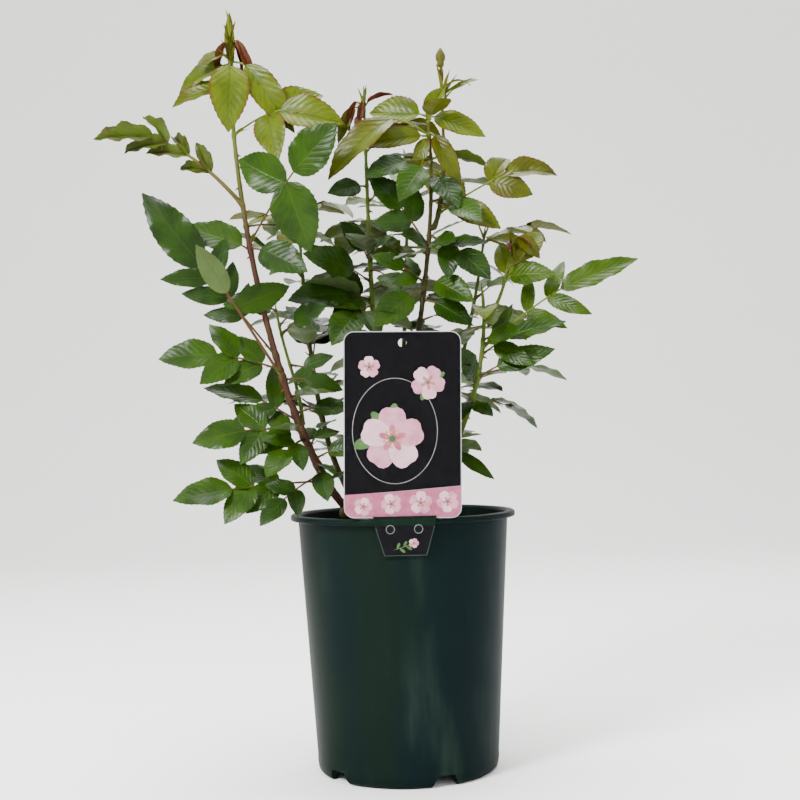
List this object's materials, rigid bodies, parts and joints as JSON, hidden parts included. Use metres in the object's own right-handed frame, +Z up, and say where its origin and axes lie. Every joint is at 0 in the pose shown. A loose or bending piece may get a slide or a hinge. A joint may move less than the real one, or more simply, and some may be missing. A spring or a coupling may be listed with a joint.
{
  "type": "rose bush",
  "caption": "Young bush rose in a dark green plastic pot: thorny canes, serrated compound leaves from lime to dark green, red new shoots and an upright picture label clipped over the rim.",
  "frame": {"origin": "middle of the flat pad under the pot, in the plane of the pot's feet", "axes": "+Z up, along the pot's axis; -Y towards the side that carries the label; +X to the right seen from that side"},
  "size_m": [0.4447, 0.2702, 0.6312],
  "materials": {
    "pot_plastic": "dark green moulded plastic with a soft sheen and faint scuffs",
    "compost": "dark damp bark and peat compost, rough",
    "bark": "red-brown to grey young rose bark with small thorns",
    "label_card": "thin printed plastic card, near black with a pale edge, satin",
    "clear_stud": "small clear plastic press studs",
    "young_leaf": "young lime green leaves edged with bronze, satin",
    "leaf": "mid green leaves with paler veins, satin",
    "old_leaf": "dark green mature leaves, slightly glossy"
  },
  "bodies": {
    "root": {"cane_back": "bark", "cane_back_left": "bark", "cane_back_right": "bark", "cane_centre": "bark", "cane_left": "bark", "cane_right": "bark", "cane_right_centre": "bark", "compost": "compost", "foliage_back_left_low": "old_leaf", "foliage_back_left_top": "leaf", "foliage_back_low": "old_leaf", "foliage_back_middle": "leaf", "foliage_back_right_low": "old_leaf", "foliage_back_right_top": "leaf", "foliage_back_top": "leaf", "foliage_centre_low": "old_leaf", "foliage_centre_middle": "leaf", "foliage_centre_top": "young_leaf", "foliage_left_inner": "leaf", "foliage_left_low": "old_leaf", "foliage_left_middle": "leaf", "foliage_left_top": "young_leaf", "foliage_left_upper": "leaf", "foliage_right_centre_low": "old_leaf", "foliage_right_centre_middle": "leaf", "foliage_right_centre_top": "young_leaf", "foliage_right_low": "old_leaf", "foliage_right_middle": "leaf", "foliage_right_shoot": "young_leaf", "foliage_spire": "young_leaf", "label": "label_card", "label_stud_left": "clear_stud", "label_stud_right": "clear_stud", "pot": "pot_plastic", "rootstock": "bark"}
  },
  "joints": []
}
